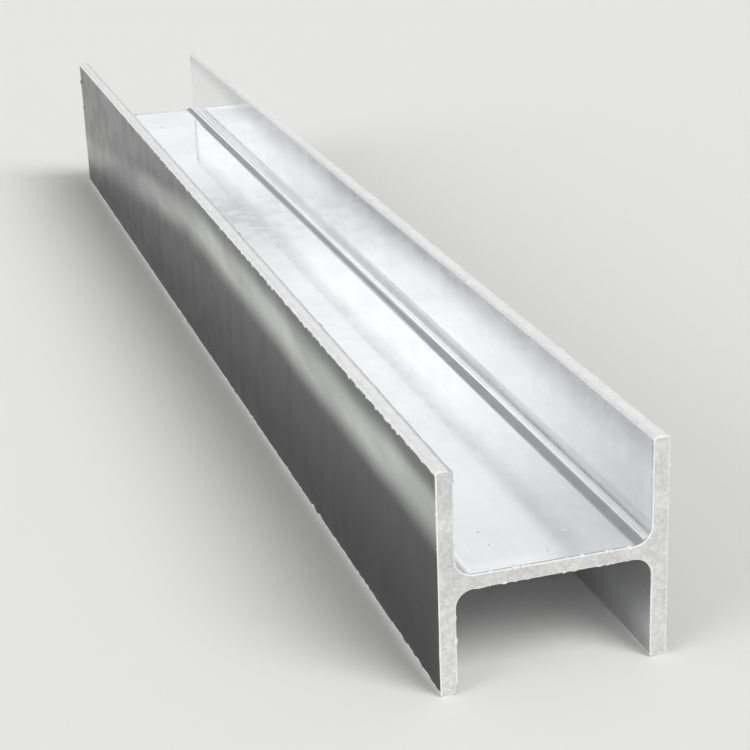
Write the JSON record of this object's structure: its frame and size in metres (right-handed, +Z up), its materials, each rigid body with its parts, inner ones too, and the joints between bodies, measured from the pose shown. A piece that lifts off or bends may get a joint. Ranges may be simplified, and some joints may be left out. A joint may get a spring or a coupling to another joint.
{
  "type": "steel h-beam",
  "caption": "Short length of hot-dip galvanized steel H-section with parallel flanges, rounded roots and square-cut ends, for use as a post, strut or support beam.",
  "frame": {"origin": "under the middle of the beam's length and section, at the level of the surface that the lower flange toes stand on", "axes": "+Y along the beam, +X across the web from the left flange to the right one, +Z up, square to the level web"},
  "size_m": [0.1, 0.9, 0.1],
  "materials": {
    "galvanized_steel": "hot-dip galvanized: satin zinc with soft cloudy reflections, faint lengthwise roll lines and vertical runs, matte and speckled on the cut ends, small zinc nodules along the toes and cut edges"
  },
  "bodies": {
    "root": {"h_beam": "galvanized_steel"}
  },
  "joints": []
}
